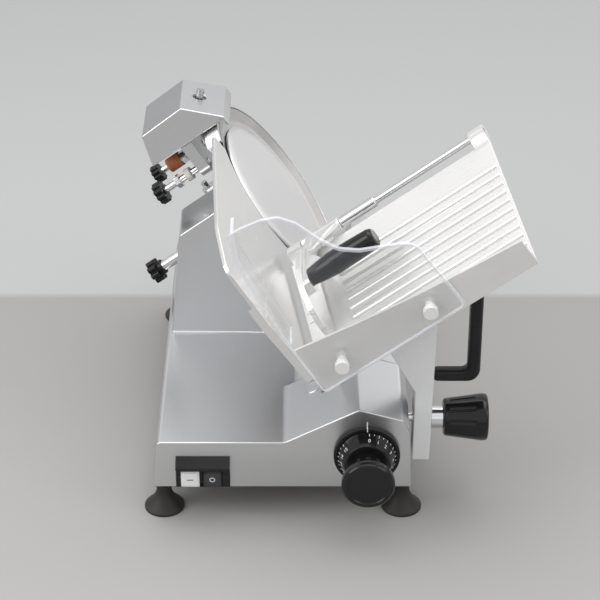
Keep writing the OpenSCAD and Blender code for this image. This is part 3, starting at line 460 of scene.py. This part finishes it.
def dial_marks():
    """Numbers 0 to 15 and ticks on the dial's cone, clockwise from just beside the top."""
    bm = bmesh.new()
    cone = Matrix.Rotation(math.atan2(CONE_DROP, CONE_LEN), 4, "X")
    for k in range(31):
        turn = Matrix.Translation(DIAL) @ Matrix.Rotation(math.radians(4 + 10 * k), 4, "Y")
        numbered = k % 2 == 0
        size = 3.6 if numbered else 2.0
        marks = [(4.6 + size / 2, None)]
        if numbered:
            marks.append((13.2, str(k // 2)))
        for depth, number in marks:
            radius = CONE_R - (depth - CONE_START) * CONE_DROP / CONE_LEN + 0.12
            lay = turn @ Matrix.Translation((0, (-3.3 - depth) * MM, radius * MM)) @ cone
            if number:
                add_bmesh(bm, text_bmesh(number, 6.2 * MM), lay)
            else:
                slab(bm, lay, 0.6 * MM, size * MM, 0.2 * MM)
    new_object("dial_marks", bm, MAT["print"], "dial", 30)


def index_marks():
    """Fixed line that the dial is read against: across the ring's face, its rim and the panel above."""
    bm = bmesh.new()
    slab(bm, Matrix.Translation(DIAL + Vector((0, -6.06 * MM, 36.9 * MM))), 1.1 * MM, HAIR, 3.6 * MM)
    slab(bm, Matrix.Translation(DIAL + Vector((0, -3 * MM, 38.95 * MM))), 1.1 * MM, 5.6 * MM, HAIR)
    slab(bm, Matrix.Translation(DIAL + Vector((0, -0.06 * MM, 42.4 * MM))), 0.9 * MM, HAIR, 5.5 * MM)
    new_object("dial_index", bm, MAT["print"], "machine", 30)


def key_face(key):
    """Matrix at the middle of a key's front face."""
    low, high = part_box(key)
    return Matrix.Translation(((low.x + high.x) / 2, low.y - 0.02 * MM, (low.z + high.z) / 2))


def key_marks():
    """Dash on the on key and ring on the off key."""
    bm = bmesh.new()
    slab(bm, key_face("on_button"), 7.5 * MM, HAIR, 1.1 * MM)
    new_object("on_mark", bm, MAT["key"], "on_key", 30)
    bm = bmesh.new()
    add_bmesh(bm, text_bmesh("O", 9 * MM), key_face("off_button") @ TO_FRONT)
    new_object("off_mark", bm, MAT["print"], "off_key", 30)


dial_marks()
index_marks()
key_marks()


# ---------------------------------------------------------------- stage, light and camera

FLOOR_SIZE = 9.0                            # half of its side
NEAR, FAR = -0.5, 0.29                      # depths between which painted shade darkens the near floor towards the object
PALE_FROM, PALE_TO = 0.292, 0.312           # depths where the floor turns to the paler far part
# height in the sky, from 0 at the bottom to 1 at the top, and the colour there
SKY = [(0.30, (0.16, 0.16, 0.16, 1)), (0.52, (0.48, 0.48, 0.485, 1)), (0.72, (0.88, 0.88, 0.885, 1)),
       (0.98, (1.0, 1.0, 1.0, 1))]
SKY_STRENGTH = 0.9
WHITE, WARM = (1, 1, 1), (1, 0.985, 0.965)
# name, place, target, width, height, watts, colour
LIGHTS = [
    ("top", (0.1, 0.3, 2.2), (0, 0, 0.1), 2.4, 1.6, 25, WHITE),
    ("left", (-2.0, -0.9, 1.5), (0, 0, 0.2), 1.4, 1.6, 22, WHITE),
    ("right", (2.1, -1.2, 1.7), (0, 0, 0.2), 1.0, 1.4, 9, WHITE),
    ("front", (0.0, -2.6, 0.9), (0, 0, 0.2), 3.0, 1.2, 2, WHITE),
    ("far right", (1.7, 1.9, 0.75), (0, 0, 0.25), 1.8, 1.5, 4, WARM),
]
EYE = at(20.5, -1972, 1486)
EYE_PITCH = math.radians(59)                # up from looking straight down
LENS = 123


def floor():
    """Pale floor, darker round the object than far behind it: painted shade darkens the near floor from the
    front towards the object.
    """
    bm = bmesh.new()
    bmesh.ops.create_grid(bm, x_segments=8, y_segments=8, size=FLOOR_SIZE)
    mesh = bpy.data.meshes.new("floor")
    bm.to_mesh(mesh)
    bm.free()
    obj = bpy.data.objects.new("floor", mesh)
    bpy.context.scene.collection.objects.link(obj)
    mat = bpy.data.materials.new("floor")
    mat.use_nodes = True
    tree = mat.node_tree
    shader = tree.nodes["Principled BSDF"]
    split = node(tree, "ShaderNodeSeparateXYZ")
    link(tree, node(tree, "ShaderNodeTexCoord").outputs["Object"], split.inputs[0])
    depth = split.outputs["Y"]
    # painted shade: darker from the front towards the object
    near = mixed(tree, ranged(tree, depth, NEAR, FAR), (0.385, 0.378, 0.368, 1), (0.315, 0.309, 0.299, 1))
    turn = ranged(tree, depth, PALE_FROM, PALE_TO, interpolation="SMOOTHSTEP")
    link(tree, mixed(tree, turn, near, (0.42, 0.423, 0.425, 1)), shader.inputs["Base Color"])
    shader.inputs["Roughness"].default_value = 0.75
    mesh.materials.append(mat)


def sky():
    """Soft grey surround, brighter overhead."""
    world = bpy.data.worlds.new("studio")
    bpy.context.scene.world = world
    world.use_nodes = True
    tree = world.node_tree
    tree.nodes.clear()
    out = node(tree, "ShaderNodeOutputWorld")
    back = node(tree, "ShaderNodeBackground")
    link(tree, back.outputs[0], out.inputs["Surface"])
    split = node(tree, "ShaderNodeSeparateXYZ")
    link(tree, node(tree, "ShaderNodeTexCoord").outputs["Generated"], split.inputs[0])
    ramp = node(tree, "ShaderNodeValToRGB")
    stops = ramp.color_ramp.elements
    stops[0].position, stops[0].color = SKY[0]
    stops[1].position, stops[1].color = SKY[-1]
    for position, color in SKY[1:-1]:
        stops.new(position).color = color
    link(tree, ranged(tree, split.outputs["Z"], -1, 1), ramp.inputs["Fac"])
    link(tree, ramp.outputs["Color"], back.inputs["Color"])
    back.inputs["Strength"].default_value = SKY_STRENGTH


def area(name, place, target, width, height, power, color):
    """Rectangular lamp that looks at a target."""
    light = bpy.data.lights.new(name, "AREA")
    light.shape = "RECTANGLE"
    light.size, light.size_y = width, height
    light.energy = power
    light.color = color
    obj = bpy.data.objects.new(name, light)
    obj.location = place
    obj.rotation_euler = (Vector(target) - Vector(place)).to_track_quat("-Z", "Y").to_euler()
    bpy.context.scene.collection.objects.link(obj)


def camera():
    """Camera in front of the machine and above it."""
    data = bpy.data.cameras.new("camera")
    data.lens = LENS
    data.sensor_width = 36
    data.clip_start, data.clip_end = 0.05, 60
    obj = bpy.data.objects.new("camera", data)
    obj.location = EYE
    obj.rotation_euler = (EYE_PITCH, 0, 0)
    bpy.context.scene.collection.objects.link(obj)
    bpy.context.scene.camera = obj


floor()
sky()
for lamp in LIGHTS:
    area(*lamp)
camera()
bpy.context.scene.view_settings.view_transform = "Standard"
